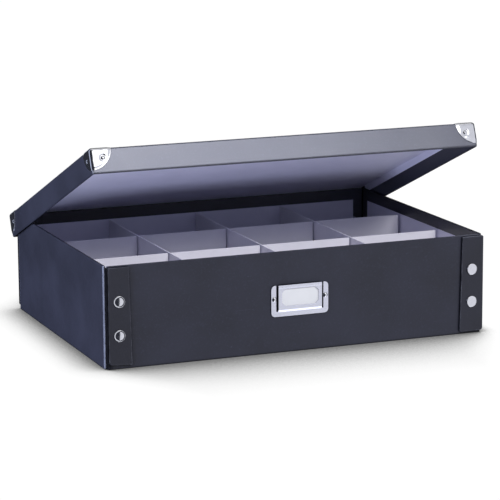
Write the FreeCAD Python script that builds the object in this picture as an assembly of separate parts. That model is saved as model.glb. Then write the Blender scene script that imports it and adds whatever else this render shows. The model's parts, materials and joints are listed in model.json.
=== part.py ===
import FreeCAD, Part
import os

# A lidded storage box of covered board with a lift-out grid of twelve compartments.
# Row frame: origin at the centre of the underside, +Z up, -Y is the front, +X the right-hand side.
# The lid is modelled shut and then tilted about its hinge line, because it rests part open.

Vec = FreeCAD.Vector

# --- driving dimensions, in millimetres and degrees ---------------------------------------------
BASE_W = 424.0  # between the outer faces of the side walls
BASE_D = 306.0  # between the outer faces of the front and back walls
BASE_H = 107.0  # floor to rim
BOARD = 2.4  # covered board of the base
LINING = 0.4  # white lining paper
SOFT = 0.9  # rounding of a covered edge
BOARD_CLEAR = 0.1  # between boards that meet at a corner
BORDER = 13.0  # black border between a wall lining and the rim
CORNER_BORDER = 12.5  # black border between a wall lining and a corner
SIDE_CORNER_BORDER = 14.0
FLOOR_LINING_MARGIN = 1.0

FLAP_GAP = 0.9  # between a wall and the corner flap in front of it
FLAP_T = 1.8
FLAP_TOP_W = 25.4  # from the side wall's outer face to the flap's free edge
FLAP_FOOT_W = 27.8
FLAP_FOOT_Z = 3.0
FLAP_DROP = 1.3  # flap's top below the rim
FLAP_INSET = 0.7  # flap's round end inside the side wall's outer face
FLAP_EDGE_R = 0.5
SIDE_SETBACK = 3.5  # side wall's end behind the outer face of the front wall
CREASE_T = 0.5  # covering that bridges a side wall and its flap
CREASE_SINK = 0.4  # how far it lies inside the flap's round end

SNAP_X = 197.7
SNAP_Z = (35.3, 70.4)

DIVIDER_T = 1.5
DIVIDER_TOP = 92.9
COLUMNS = 4
ROWS = 3

HOLDER_W = 64.0
HOLDER_H = 33.0
HOLDER_FOOT_Z = 38.6
HOLDER_T = 0.8
CARD_T = 0.4
CARD_OFF_WALL = 1.1
CARD_SIDE_GAP = 0.8
CARD_RISE = 1.2  # card's foot above the raised tongue's step

LID_T = 2.0
LID_EDGE_R = 0.6
LID_BAND_T = 0.3  # white paper on the inside of a skirt
LID_BAND_DROP = 10.5  # its lower edge below the lid's top
LID_BAND_STOP = 18.0  # its ends from the lid's inner corners
LID_SIDE_GAP = 1.0  # side wall to side skirt
LID_END_GAP = 0.8  # flap to front or rear skirt
LID_SKIRT = 26.4  # lid's top to the skirt's edge
LID_SEAT_GAP = 0.8  # rim to the lid's lining when shut
LID_TILT = 21.9
HINGE_DROP = 34.0  # hinge line below the rim
HINGE_INSET = 3.8  # hinge line in front of the back wall's outer face

METAL_T = 0.5
METAL_R = 22.6  # reach of a metal corner along each edge
RIVET_ALONG = 12.7  # rivet from the lid's corner
RIVET_DOWN = 10.4

# --- worked out from the above ------------------------------------------------------------------
HALF_W = BASE_W / 2
HALF_D = BASE_D / 2
FLAP_FACE = HALF_D + FLAP_GAP + FLAP_T  # outer face of every corner flap
INNER_W = HALF_W - BOARD
INNER_D = HALF_D - BOARD
FLOOR_Z = BOARD + LINING
LINING_TOP = BASE_H - BORDER
LID_HALF_W = HALF_W + LID_SIDE_GAP + LID_T
LID_HALF_D = FLAP_FACE + LID_END_GAP + LID_T
LID_TOP = BASE_H + LID_SEAT_GAP + LINING + LID_T
LID_UNDER = LID_TOP - LID_T
SKIRT_FOOT = LID_TOP - LID_SKIRT
HINGE_LINE = Vec(0, HALF_D - HINGE_INSET, BASE_H - HINGE_DROP)
HOLDER_MID_Z = HOLDER_FOOT_Z + 0.565 * HOLDER_H
HOLDER_RIVET_X = HOLDER_W / 2 - 3.4

ALONG_X = Vec(1, 0, 0)
ALONG_Y = Vec(0, 1, 0)
ALONG_Z = Vec(0, 0, 1)
ORIGIN = Vec(0, 0, 0)


# --- helpers ------------------------------------------------------------------------------------
def block(x, y, z):
    """A block between a low and a high value on each axis."""
    return Part.makeBox(x[1] - x[0], y[1] - y[0], z[1] - z[0], Vec(x[0], y[0], z[0]))


def soft_block(x, y, z, radius):
    """A block with every edge rounded."""
    solid = block(x, y, z)
    return solid.makeFillet(radius, solid.Edges)


def prism(points, along):
    """A flat outline of points pushed along a vector."""
    return Part.Face(Part.makePolygon(points + points[:1])).extrude(along)


def turned(outline, at, facing):
    """A solid of revolution. The outline is edges in the XZ plane; its Z axis ends up along facing."""
    solid = Part.Face(Part.Wire(outline)).revolve(ORIGIN, ALONG_Z, 360)
    solid.Placement = FreeCAD.Placement(at, FreeCAD.Rotation(ALONG_Z, facing))
    return solid


def path(*points):
    """Straight edges through (radius, height) points, in order."""
    corners = [Vec(r, 0, h) for r, h in points]
    return [Part.makeLine(a, b) for a, b in zip(corners, corners[1:])]


def arc(start, middle, end):
    """An arc through three (radius, height) points."""
    return [Part.Arc(*[Vec(r, 0, h) for r, h in (start, middle, end)]).toShape()]


def steps(*levels):
    """A stepped round piece: (radius, bottom, top) from the lowest up."""
    points = [(0, levels[0][1])]
    for radius, low, high in levels:
        points += [(radius, low), (radius, high)]
    points.append((0, levels[-1][2]))
    return path(*points, points[0])


def mirror_x(shape):
    return shape.mirror(ORIGIN, ALONG_X)


def mirror_y(shape):
    return shape.mirror(ORIGIN, ALONG_Y)


def four_ways(shape):
    """The shape at its own corner and mirrored to the other three."""
    return [shape, mirror_x(shape), mirror_y(shape), mirror_x(mirror_y(shape))]


def tilted(shape):
    """A shut-lid shape turned to the part-open pose, its front edge up."""
    turn = shape.copy()
    turn.rotate(HINGE_LINE, ALONG_X, -LID_TILT)
    return turn


def save(node, *shapes):
    """Write one node as its own STEP file."""
    shape = shapes[0] if len(shapes) == 1 else Part.makeCompound(list(shapes))
    shape.exportStep(f"parts/{node}.step")


# --- holes and fastenings through a wall --------------------------------------------------------
SHANK_R = 1.45
SHANK_HOLE_R = 1.5
BACK_R = 3.3  # clinched head let into the wall's inner face
BACK_T = 0.5
STUD_FLANGE_R = 4.2
STUD_FLANGE_T = 0.7
POST_R = 1.6
POST_TOP = 2.2
SOCKET_BORE_R = 2.1
SOCKET_TOP = FLAP_GAP + 1.4
CAP_R = 6.2
DOME_FLAT_R = 0.4  # every dome ends in a small flat
CLEAR = 0.05


def wall_hole(x, z):
    """The hole for a shank and its clinched head, through the front wall."""
    outer, inner = -HALF_D, -HALF_D + BOARD
    hole = Part.makeCylinder(SHANK_HOLE_R, BOARD + 2, Vec(x, outer - 1, z), ALONG_Y)
    pocket_depth = BACK_T + CLEAR
    pocket = Part.makeCylinder(BACK_R + 0.1, 2, Vec(x, inner - pocket_depth, z), ALONG_Y)
    return hole.fuse(pocket)


def snap_stud(x, z):
    """The stud riveted to a wall: clinched head, shank, flange and post."""
    outline = steps(
        (BACK_R, -BOARD, -BOARD + BACK_T),
        (SHANK_R, -BOARD + BACK_T, 0),
        (STUD_FLANGE_R, 0, STUD_FLANGE_T),
        (POST_R, STUD_FLANGE_T, POST_TOP),
    )
    return turned(outline, Vec(x, -HALF_D, z), -ALONG_Y)


def snap_socket(x, z):
    """The ring let into the back of a flap, which closes over the post."""
    low, high = FLAP_GAP + CLEAR, SOCKET_TOP
    outline = path(
        (SOCKET_BORE_R, low), (STUD_FLANGE_R, low), (STUD_FLANGE_R, high), (SOCKET_BORE_R, high),
        (SOCKET_BORE_R, low),
    )
    return turned(outline, Vec(x, -HALF_D, z), -ALONG_Y)


def snap_cap(x, z):
    """The domed cap on a flap's outer face, with its shank through the flap."""
    face = FLAP_GAP + FLAP_T
    outline = path((0, SOCKET_TOP), (SHANK_R, SOCKET_TOP), (SHANK_R, face), (CAP_R, face))
    outline += path((CAP_R, face), (CAP_R, face + 0.5))
    outline += arc((CAP_R, face + 0.5), (CAP_R - 0.35, face + 1.25), (CAP_R - 1.2, face + 1.6))
    outline += path((CAP_R - 1.2, face + 1.6), (CAP_R - 1.7, face + 1.4))
    outline += arc((CAP_R - 1.7, face + 1.4), (CAP_R / 3, face + 1.82), (DOME_FLAT_R, face + 1.9))
    outline += path((DOME_FLAT_R, face + 1.9), (0, face + 1.9), (0, SOCKET_TOP))
    return turned(outline, Vec(x, -HALF_D, z), -ALONG_Y)


# --- base ---------------------------------------------------------------------------------------
def end_wall(fastened):
    """The front wall; fastened lists (x, z) of the holes through it."""
    end = INNER_W - BOARD_CLEAR
    wall = soft_block((-end, end), (-HALF_D, -INNER_D), (0, BASE_H), SOFT)
    for x, z in fastened:
        wall = wall.cut(wall_hole(x, z))
    return wall


def side_wall():
    """The left wall, whose ends stop behind the corner flaps."""
    end = HALF_D - SIDE_SETBACK
    return soft_block((-HALF_W, -INNER_W), (-end, end), (0, BASE_H), SOFT)


def corner_flap():
    """The front left flap: a round hinge end, a slanting free edge and two snap housings."""
    axis_x = -HALF_W + FLAP_INSET + FLAP_T / 2
    back, face = -HALF_D - FLAP_GAP, -FLAP_FACE
    top = BASE_H - FLAP_DROP
    outline = [
        Vec(axis_x, face, FLAP_FOOT_Z),
        Vec(-HALF_W + FLAP_FOOT_W, face, FLAP_FOOT_Z),
        Vec(-HALF_W + FLAP_TOP_W, face, top),
        Vec(axis_x, face, top),
    ]
    board = prism(outline, Vec(0, FLAP_T, 0))
    hinge_end = Part.makeCylinder(
        FLAP_T / 2, top - FLAP_FOOT_Z, Vec(axis_x, (back + face) / 2, FLAP_FOOT_Z)
    )
    flap = board.fuse(hinge_end).removeSplitter()
    rims = [e for e in flap.Edges if e.BoundBox.ZLength < 0.01]
    flap = flap.makeFillet(FLAP_EDGE_R, rims)
    for z in SNAP_Z:
        housing_top = -HALF_D - SOCKET_TOP - CLEAR
        housing = Part.makeCylinder(
            STUD_FLANGE_R + 0.1, back + 1 - housing_top, Vec(-SNAP_X, housing_top, z), ALONG_Y
        )
        hole = Part.makeCylinder(SHANK_HOLE_R, FLAP_T + 2, Vec(-SNAP_X, face - 1, z), ALONG_Y)
        flap = flap.cut(housing).cut(hole)
    return flap


def crease_strip():
    """The covering that bridges the side wall's end and the front left flap."""
    outer = -HALF_W + FLAP_INSET + CREASE_SINK
    front = -HALF_D - FLAP_GAP / 2
    back = -HALF_D + SIDE_SETBACK
    top = BASE_H - FLAP_DROP
    return block((outer, outer + CREASE_T), (front, back), (FLAP_FOOT_Z / 2, top))


def build_base():
    holder_holes = [(side * HOLDER_RIVET_X, HOLDER_MID_Z) for side in (-1, 1)]
    snap_holes = [(side * SNAP_X, z) for side in (-1, 1) for z in SNAP_Z]
    end_x, end_y = INNER_W - BOARD_CLEAR, INNER_D - BOARD_CLEAR
    save("bottom_board", block((-end_x, end_x), (-end_y, end_y), (0, BOARD)))
    save("front_wall", end_wall(snap_holes + holder_holes))
    save("back_wall", mirror_y(end_wall(snap_holes)))
    save("left_wall", side_wall())
    save("right_wall", mirror_x(side_wall()))

    flap, strip = corner_flap(), crease_strip()
    for node, turn in (
        ("front_left", lambda s: s),
        ("front_right", mirror_x),
        ("rear_left", mirror_y),
        ("rear_right", lambda s: mirror_x(mirror_y(s))),
    ):
        save(f"{node}_flap", turn(flap))
        save(f"{node}_crease", turn(strip))
        if node.startswith("front"):
            save(f"{node}_snap_caps", *[turn(snap_cap(-SNAP_X, z)) for z in SNAP_Z])
            save(f"{node}_snap_sockets", *[turn(snap_socket(-SNAP_X, z)) for z in SNAP_Z])
    studs = [snap_stud(x, z) for x, z in snap_holes]
    save("front_snap_studs", *studs)
    save("rear_snap_studs", *[mirror_y(s) for s in studs])
    save("rear_snap_caps", *[mirror_y(snap_cap(x, z)) for x, z in snap_holes])
    save("rear_snap_sockets", *[mirror_y(snap_socket(x, z)) for x, z in snap_holes])


def build_base_linings():
    top, foot = LINING_TOP, FLOOR_Z
    end_x, end_y = INNER_W - FLOOR_LINING_MARGIN, INNER_D - FLOOR_LINING_MARGIN
    save("bottom_lining", block((-end_x, end_x), (-end_y, end_y), (BOARD, FLOOR_Z)))
    end_x, end_y = INNER_W - CORNER_BORDER, INNER_D - SIDE_CORNER_BORDER
    front = block((-end_x, end_x), (-INNER_D, -INNER_D + LINING), (foot, top))
    left = block((-INNER_W, -INNER_W + LINING), (-end_y, end_y), (foot, top))
    save("front_lining", front)
    save("back_lining", mirror_y(front))
    save("left_lining", left)
    save("right_lining", mirror_x(left))


# --- dividers -----------------------------------------------------------------------------------
CROSS_END_GAP = 3.2  # cross divider's end to the side wall's lining
LONG_END_GAP = 0.6
DIVIDER_CLEAR = 0.2  # above the floor's lining
CROSS_SLOT_W = 3.4  # the slots are wide and the long dividers stand at their right-hand side
LONG_SLOT_W = 2.1
SLOT_SPARE = 0.4


def compartment_lines(half, count):
    """Where count equal compartments between -half and half are parted."""
    return [half * (2 * i / count - 1) for i in range(1, count)]


def build_dividers():
    foot, top = FLOOR_Z + DIVIDER_CLEAR, DIVIDER_TOP
    mid_z = (foot + top) / 2
    inner_x, inner_y = INNER_W - LINING, INNER_D - LINING
    columns = compartment_lines(inner_x, COLUMNS)
    rows = compartment_lines(inner_y, ROWS)
    half_t = DIVIDER_T / 2
    end_x, end_y = inner_x - CROSS_END_GAP, inner_y - LONG_END_GAP

    for y, node in zip(rows, ("front_cross_divider", "rear_cross_divider")):
        strip = block((-end_x, end_x), (y - half_t, y + half_t), (foot, top))
        for x in columns:
            right = x + half_t + SLOT_SPARE / 2
            slot = block(
                (right - CROSS_SLOT_W, right), (y - 2, y + 2), (mid_z - SLOT_SPARE, top + 1)
            )
            strip = strip.cut(slot)
        save(node, strip)

    for x, node in zip(columns, ("left_long_divider", "middle_long_divider", "right_long_divider")):
        strip = block((x - half_t, x + half_t), (-end_y, end_y), (foot, top))
        for y in rows:
            half_slot = LONG_SLOT_W / 2
            slot = block(
                (x - 2, x + 2), (y - half_slot, y + half_slot), (foot - 1, mid_z + SLOT_SPARE)
            )
            strip = strip.cut(slot)
        save(node, strip)


# --- label holder -------------------------------------------------------------------------------
TONGUE_HALF_W = 24.4  # raised plate that holds the card against the wall
SLOT_W = 2.0  # between the tongue and each side flange
FLANGE_FOOT = 5.4  # height of the bottom flange
TONGUE_OUT = 2.7  # tongue's face from the wall
HOLDER_CORNER_R = 4.2
STEP_RISE = 2.4  # height over which the tongue steps out from its foot
WINDOW_HALF_W = 20.4
WINDOW_FOOT = 10.9
WINDOW_TOP = 28.9
WINDOW_CHAMFER = 3.4


def label_holder():
    """A stamped plate: a U-shaped flange on the wall and a raised, windowed tongue inside it."""
    z0 = HOLDER_FOOT_Z
    face, wall = -HALF_D - HOLDER_T, -HALF_D
    plate = block((-HOLDER_W / 2, HOLDER_W / 2), (face, wall), (z0, z0 + HOLDER_H))
    uprights = [e for e in plate.Edges if e.BoundBox.YLength > HOLDER_T / 2]
    plate = plate.makeFillet(HOLDER_CORNER_R, uprights)
    opening = TONGUE_HALF_W + SLOT_W
    plate = plate.cut(
        block((-opening, opening), (face - 1, wall + 1), (z0 + FLANGE_FOOT, z0 + HOLDER_H + 1))
    )

    def section(points):
        return prism(
            [Vec(-TONGUE_HALF_W, -HALF_D - out, z0 + up) for out, up in points],
            Vec(2 * TONGUE_HALF_W, 0, 0),
        )

    step_top = FLANGE_FOOT + STEP_RISE
    tongue = section([
        (0, FLANGE_FOOT - 1),
        (HOLDER_T, FLANGE_FOOT - 1),
        (HOLDER_T, FLANGE_FOOT),
        (TONGUE_OUT, step_top),
        (TONGUE_OUT, HOLDER_H),
        (TONGUE_OUT - HOLDER_T, HOLDER_H),
        (TONGUE_OUT - HOLDER_T, step_top + HOLDER_T / 2),
        (0, FLANGE_FOOT + HOLDER_T / 2),
    ])
    lo, hi = z0 + WINDOW_FOOT, z0 + WINDOW_TOP
    half, cut = WINDOW_HALF_W, WINDOW_CHAMFER
    corners = [
        (-half + cut, lo), (half - cut, lo), (half, lo + cut), (half, hi - cut),
        (half - cut, hi), (-half + cut, hi), (-half, hi - cut), (-half, lo + cut),
    ]
    window = prism([Vec(x, -HALF_D - TONGUE_OUT - 1, z) for x, z in corners], Vec(0, 2.5, 0))
    holder = plate.fuse(tongue.cut(window)).removeSplitter()
    for side in (-1, 1):
        at = Vec(side * HOLDER_RIVET_X, face - 1, HOLDER_MID_Z)
        holder = holder.cut(Part.makeCylinder(SHANK_HOLE_R, HOLDER_T + 2, at, ALONG_Y))
    return holder


HEAD_EDGE = 0.15  # straight edge under a rivet's dome


def domed_rivet(at, facing, seat, head, back, length):
    """A rivet: a dome standing on height seat, a shank, and a clinched back that ends at -length.

    head and back are each (radius, height).
    """
    head_r, head_h = head
    back_r, back_h = back
    outline = path(
        (0, -length), (back_r, -length), (back_r, back_h - length), (SHANK_R, back_h - length),
        (SHANK_R, seat), (head_r, seat), (head_r, seat + HEAD_EDGE),
    )
    top = seat + head_h
    shoulder = (0.74 * head_r, seat + 0.72 * head_h)
    outline += arc((head_r, seat + HEAD_EDGE), shoulder, (DOME_FLAT_R, top))
    outline += path((DOME_FLAT_R, top), (0, top), (0, -length))
    return turned(outline, at, facing)


def build_label_holder():
    save("label_holder", label_holder())
    rivets = [
        domed_rivet(
            Vec(side * HOLDER_RIVET_X, -HALF_D, HOLDER_MID_Z), -ALONG_Y,
            seat=HOLDER_T, head=(2.7, 1.4), back=(BACK_R, BACK_T), length=BOARD,
        )
        for side in (-1, 1)
    ]
    save("label_holder_rivets", *rivets)
    card_back = -HALF_D - CARD_OFF_WALL
    half = TONGUE_HALF_W - CARD_SIDE_GAP
    foot = HOLDER_FOOT_Z + FLANGE_FOOT + STEP_RISE + CARD_RISE
    top = HOLDER_FOOT_Z + HOLDER_H - CARD_SIDE_GAP
    save("label_card", block((-half, half), (card_back - CARD_T, card_back), (foot, top)))


# --- lid, modelled shut ---------------------------------------------------------------------------
def end_skirt():
    """The front skirt, with the rivet holes near its ends."""
    skirt = soft_block(
        (-LID_HALF_W, LID_HALF_W), (-LID_HALF_D, -LID_HALF_D + LID_T), (SKIRT_FOOT, LID_UNDER),
        LID_EDGE_R,
    )
    for side in (-1, 1):
        at = Vec(side * (LID_HALF_W - RIVET_ALONG), -LID_HALF_D - 1, LID_TOP - RIVET_DOWN)
        skirt = skirt.cut(Part.makeCylinder(SHANK_HOLE_R, LID_T + 2, at, ALONG_Y))
    return skirt


def side_skirt():
    """The left skirt, between the end skirts."""
    end = LID_HALF_D - LID_T
    skirt = soft_block(
        (-LID_HALF_W, -LID_HALF_W + LID_T), (-end, end), (SKIRT_FOOT, LID_UNDER), LID_EDGE_R
    )
    for side in (-1, 1):
        at = Vec(-LID_HALF_W - 1, side * (LID_HALF_D - RIVET_ALONG), LID_TOP - RIVET_DOWN)
        skirt = skirt.cut(Part.makeCylinder(SHANK_HOLE_R, LID_T + 2, at, ALONG_X))
    return skirt


def metal_corner():
    """The front left metal corner: three quarter-round cheeks on the lid's outer faces."""
    x, y, z, t, reach = -LID_HALF_W, -LID_HALF_D, LID_TOP, METAL_T, METAL_R + 5
    outer = block((x - t, x + reach), (y - t, y + reach), (z - reach, z + t))
    near = [
        e for e in outer.Edges
        if (e.BoundBox.XMax < x) + (e.BoundBox.YMax < y) + (e.BoundBox.ZMin > z) == 2
    ]
    outer = outer.makeFillet(2 * t, near)
    inner = block((x, x + reach + 1), (y, y + reach + 1), (z - reach - 1, z))
    corner = outer.cut(inner).common(Part.makeSphere(METAL_R, Vec(x, y, z)))
    down = z - RIVET_DOWN
    for at, along in (
        (Vec(x + RIVET_ALONG, y - 1, down), ALONG_Y),
        (Vec(x - 1, y + RIVET_ALONG, down), ALONG_X),
    ):
        corner = corner.cut(Part.makeCylinder(SHANK_HOLE_R, 3, at, along))
    return corner


def lid_rivets():
    """The two rivets of the front left metal corner."""
    down = LID_TOP - RIVET_DOWN
    back_r, back_h = 2.6, 0.35
    sizes = {"seat": METAL_T, "head": (2.1, 1.0), "back": (back_r, back_h), "length": LID_T + back_h}
    front = Vec(-LID_HALF_W + RIVET_ALONG, -LID_HALF_D, down)
    side = Vec(-LID_HALF_W, -LID_HALF_D + RIVET_ALONG, down)
    return [domed_rivet(front, -ALONG_Y, **sizes), domed_rivet(side, -ALONG_X, **sizes)]


def build_lid():
    panel = block((-LID_HALF_W, LID_HALF_W), (-LID_HALF_D, LID_HALF_D), (LID_UNDER, LID_TOP))
    rims = [
        e for e in panel.Edges
        if e.BoundBox.ZMin > LID_TOP - 0.1 or e.BoundBox.ZLength > LID_T / 2
    ]
    save("lid_panel", tilted(panel.makeFillet(SOFT, rims)))
    save("lid_front_skirt", tilted(end_skirt()))
    save("lid_rear_skirt", tilted(mirror_y(end_skirt())))
    save("lid_left_skirt", tilted(side_skirt()))
    save("lid_right_skirt", tilted(mirror_x(side_skirt())))

    inner_x, inner_y = LID_HALF_W - LID_T, LID_HALF_D - LID_T
    lining = block((-inner_x, inner_x), (-inner_y, inner_y), (LID_UNDER - LINING, LID_UNDER))
    save("lid_lining", tilted(lining))
    band = (LID_TOP - LID_BAND_DROP, LID_UNDER - LINING)
    end_x, end_y = inner_x - LID_BAND_STOP, inner_y - LID_BAND_STOP
    front = block((-end_x, end_x), (-inner_y, -inner_y + LID_BAND_T), band)
    left = block((-inner_x, -inner_x + LID_BAND_T), (-end_y, end_y), band)
    bands = [front, mirror_y(front), left, mirror_x(left)]
    save("lid_skirt_linings", *[tilted(s) for s in bands])

    places = ("front_left", "front_right", "rear_left", "rear_right")
    for node, corner in zip(places, four_ways(metal_corner())):
        save(f"lid_{node}_metal_corner", tilted(corner))
    rivets = [tilted(s) for rivet in lid_rivets() for s in four_ways(rivet)]
    save("lid_rivets", *rivets)


os.makedirs("parts", exist_ok=True)
build_base()
build_base_linings()
build_dividers()
build_label_holder()
build_lid()
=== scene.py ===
"""The looks of a lidded, divided storage box of covered board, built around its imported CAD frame."""

import json
import math

import bmesh
import bpy
from mathutils import Matrix, Vector


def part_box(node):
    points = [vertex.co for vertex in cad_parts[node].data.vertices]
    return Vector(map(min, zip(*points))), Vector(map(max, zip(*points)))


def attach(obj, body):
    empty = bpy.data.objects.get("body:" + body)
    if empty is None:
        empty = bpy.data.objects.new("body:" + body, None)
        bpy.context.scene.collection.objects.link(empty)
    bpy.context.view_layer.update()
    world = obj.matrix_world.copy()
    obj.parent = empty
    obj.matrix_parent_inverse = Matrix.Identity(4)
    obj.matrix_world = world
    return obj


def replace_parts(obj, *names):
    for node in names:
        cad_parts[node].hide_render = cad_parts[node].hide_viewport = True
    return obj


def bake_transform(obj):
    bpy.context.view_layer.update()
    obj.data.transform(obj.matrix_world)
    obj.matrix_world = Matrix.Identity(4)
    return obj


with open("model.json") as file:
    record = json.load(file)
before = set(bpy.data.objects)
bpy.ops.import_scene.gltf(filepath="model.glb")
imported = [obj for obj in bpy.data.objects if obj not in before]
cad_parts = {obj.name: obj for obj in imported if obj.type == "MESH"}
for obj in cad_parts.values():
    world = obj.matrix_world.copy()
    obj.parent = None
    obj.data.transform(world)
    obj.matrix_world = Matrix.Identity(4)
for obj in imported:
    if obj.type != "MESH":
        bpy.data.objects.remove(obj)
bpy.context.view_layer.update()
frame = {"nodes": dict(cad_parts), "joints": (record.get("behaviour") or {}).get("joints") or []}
MM = 0.001

# --- sizes in millimetres that the frame's boxes don't give ---------------------------------------
ARC_STEPS = 7  # segments in a quarter round
WALL_END_R = 2.2  # rounding of a side wall's outer end
WALL_RIM_R = 0.9
WALL_SEAM_R = 0.2  # a side wall's corners against the front and back walls' faces
FLAP_EDGE_R = 0.75
FLAP_CORNER_R = (3.0, 0.9, 0.9, 1.0)  # a flap's corners: low hinge end, low and high free edge, high hinge
FLAP_FOOT_RISE = (0.0, 1.3)  # how much shorter a flap hangs: as a rule, and the loose one
FLAP_FOOT_SLANT = 1.0  # how much higher the loose flap's foot is at its hinge end
LOOSE_HINGE = 2.3  # the front left flap's end stands this far back from the side's face
CREASE_T = 0.35
CREASE_FOOT = (1.6, -1.2)  # where a crease's covering starts above the flap's foot: as a rule, and loose
CAP_LEAN = (math.radians(-3.0), math.radians(4.5))  # left and right flap, outwards
CAP_RIM = 1.4  # width of a cap's rolled rim
CAP_DOME = 0.45
CAP_SUNK = 0.3

LID_CORNER_R = 2.2
LID_RIM_R = 1.8
LID_FOOT_H = 2.5  # height over which the skirt's foot rounds off
RIVET_DOME = (2.35, 0.2, 1.2)  # a lid rivet's radius, straight foot and dome height

METAL_FOLD_R = 2.8  # rounding of a metal corner along the lid's edges
METAL_RIM_R = 0.5
METAL_CROWN = 0.45
RIVET_ALONG = 12.7
RIVET_DOWN = 10.4
DIMPLE_R = (2.5, 4.9)  # flat floor, outer edge
DIMPLE_DEPTH = 0.45

CROSS_SLOT_W = 3.4
LONG_SLOT_W = 2.1
SLOT_SPARE = 0.4
CURL_REACH = 46.0  # rear cross divider's curled end
CURL_OUT = 4.2

HOLDER_T = 0.8
HOLDER_DOME = (2.75, 0.0, 1.7)  # a holder rivet's radius, straight foot and dome height
HOLDER_CORNER_R = 4.2
TONGUE_HALF_W = 24.4
TONGUE_GAP = 2.0
FLANGE_FOOT = 5.4
STEP_RISE = 2.0  # height of the slope from the flange to the tongue
TONGUE_OUT = 2.0  # how far the tongue stands off the wall
TONGUE_BEAD = ((1.0, 0.0), (1.7, 0.35), (2.4, 0.35), (3.1, 0.0), (4.1, 0.0))  # above the window, outwards
WINDOW_HALF_W = 20.4
WINDOW_FOOT = 10.9
WINDOW_TOP = 28.9
WINDOW_CHAMFER = 3.8


# --- helpers: meshes ------------------------------------------------------------------------------
def linspace(start, end, steps):
    return [start + (end - start) * i / steps for i in range(steps + 1)]


def smoothstep(low, high, value):
    t = min(1.0, max(0.0, (value - low) / (high - low)))
    return t * t * (3 - 2 * t)


def rounded_outline(corners, radii, inset=0.0, steps=ARC_STEPS):
    """A convex counter-clockwise outline moved inwards by inset, with its corners rounded."""
    count = len(corners)
    points = [Vector(c) for c in corners]
    lines = []
    for i in range(count):
        along = (points[(i + 1) % count] - points[i]).normalized()
        inward = Vector((-along.y, along.x))
        lines.append((points[i] + inward * inset, along))
    outline = []
    for i in range(count):
        (p, before), (q, after) = lines[i - 1], lines[i]
        cross = before.x * after.y - before.y * after.x
        gap = q - p
        corner = p + before * ((gap.x * after.y - gap.y * after.x) / cross)
        radius = max(radii[i] - inset, 0.02)
        turn = math.atan2(cross, before.dot(after))
        centre = corner - before * (radius * math.tan(turn / 2))
        centre += Vector((-before.y, before.x)) * radius
        start = math.atan2(-before.x, before.y)
        for k in range(steps + 1):
            a = start + turn * k / steps
            outline.append(centre + Vector((math.cos(a), math.sin(a))) * radius)
    return outline


def rim_profile(thickness, radius, steps=ARC_STEPS):
    """(inset, height) pairs of a slab's edge, from the centre of one face to that of the other."""
    angles = [math.pi / 2 * k / steps for k in range(steps + 1)]
    low = [(radius * (1 - math.sin(a)), radius * (1 - math.cos(a))) for a in angles]
    return low + [(inset, thickness - height) for inset, height in reversed(low)]


def loft(bm, loops):
    """Skins equal loops of points, and closes both ends."""
    rings = [[bm.verts.new(p) for p in loop] for loop in loops]
    count = len(rings[0])
    for a, b in zip(rings, rings[1:]):
        for i in range(count):
            j = (i + 1) % count
            bm.faces.new((a[i], a[j], b[j], b[i]))
    bm.faces.new(rings[0])
    bm.faces.new(rings[-1])


def slab(bm, corners, radii, profile, place):
    """A rounded board: each (inset, height) of the profile is one loop, put in space by place."""
    loft(bm, [
        [place(p.x, p.y, height) for p in rounded_outline(corners, radii, inset)]
        for inset, height in profile
    ])


def in_place(x, y, z):
    """Leaves a point of the base where it is; see on_lid for the lid's."""
    return Vector((x, y, z))


def round_head(bm, profile, at, out, place=in_place, steps=32):
    """A turned head that faces out: its profile is (radius, height) pairs from the foot up."""
    across = Vector((0, 0, 1)).cross(out)
    rings = []
    for radius, height in profile:
        ring = []
        for k in range(steps):
            a = math.tau * k / steps
            sideways = across * math.cos(a) + Vector((0, 0, math.sin(a)))
            ring.append(place(*(at + out * height + sideways * radius)))
        rings.append(ring)
    loft(bm, rings)


def bake(piece):
    """Replaces a piece's mesh by the result of its modifiers."""
    graph = bpy.context.evaluated_depsgraph_get()
    graph.update()
    mesh = bpy.data.meshes.new_from_object(piece.evaluated_get(graph))
    piece.modifiers.clear()
    piece.data = mesh


def add_piece(name, bm, material, modifiers=(), merge=0.0):
    """Makes an object of a mesh given in millimetres, with smooth rounds and flat faces."""
    if merge:
        bmesh.ops.remove_doubles(bm, verts=bm.verts, dist=merge)
    bmesh.ops.scale(bm, vec=(MM, MM, MM), verts=bm.verts)
    bmesh.ops.recalc_face_normals(bm, faces=bm.faces)
    mesh = bpy.data.meshes.new(name)
    bm.to_mesh(mesh)
    bm.free()
    piece = bpy.data.objects.new(name, mesh)
    bpy.context.scene.collection.objects.link(piece)
    for kind, settings in modifiers:
        modifier = piece.modifiers.new(kind, kind)
        for key, value in settings.items():
            setattr(modifier, key, value)
    if modifiers:
        bake(piece)
    mesh = piece.data
    mesh.materials.clear()
    mesh.materials.append(material)
    mesh.polygons.foreach_set("use_smooth", [True] * len(mesh.polygons))
    mesh.set_sharp_from_angle(angle=math.radians(40))
    piece.modifiers.new("normals", "WEIGHTED_NORMAL").keep_sharp = True
    return piece


def box_mm(node):
    """A CAD node's lowest and highest corner in millimetres."""
    low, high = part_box(node)
    return low / MM, high / MM


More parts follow.
